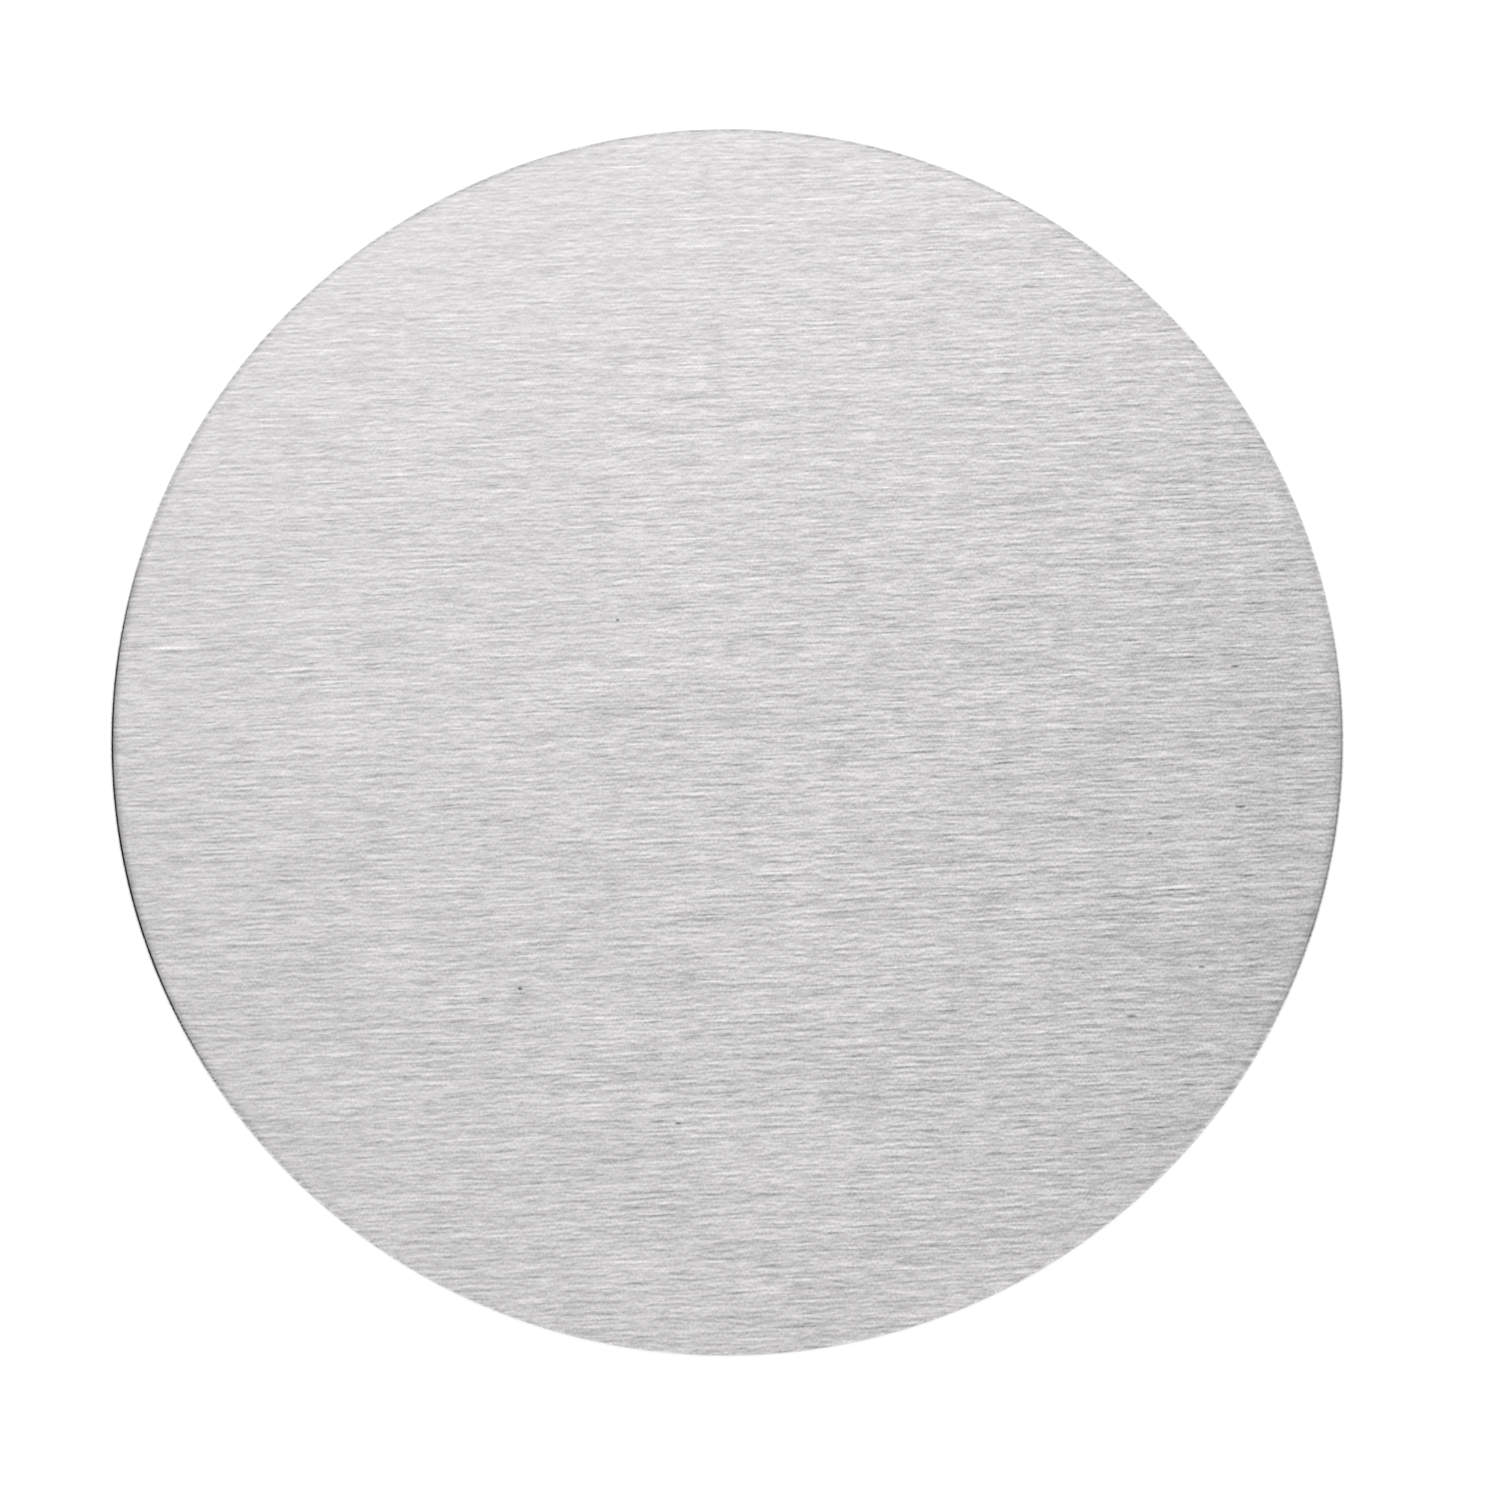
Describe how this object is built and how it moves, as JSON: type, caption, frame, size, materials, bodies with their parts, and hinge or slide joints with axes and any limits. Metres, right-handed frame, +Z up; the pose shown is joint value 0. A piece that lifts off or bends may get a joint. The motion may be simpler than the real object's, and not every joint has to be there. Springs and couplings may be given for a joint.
{
  "type": "wine bottle coaster",
  "caption": "Flat round bottle coaster: a brushed stainless disc with a drawn-down, deburred rim, bonded by an adhesive film to a black non-slip foam rubber pad set back out of sight.",
  "frame": {"origin": "centre of the pad's underside, in the plane that the coaster stands on", "axes": "+Z up along the disc's axis; +X along the brushed grain of the top face"},
  "size_m": [0.12, 0.12, 0.0037],
  "materials": {
    "brushed_steel": "satin",
    "adhesive": "satin",
    "foam_rubber": "matte"
  },
  "bodies": {
    "root": {"steel_disc": "brushed_steel", "adhesive_film": "adhesive", "foam_pad": "foam_rubber"}
  },
  "joints": []
}
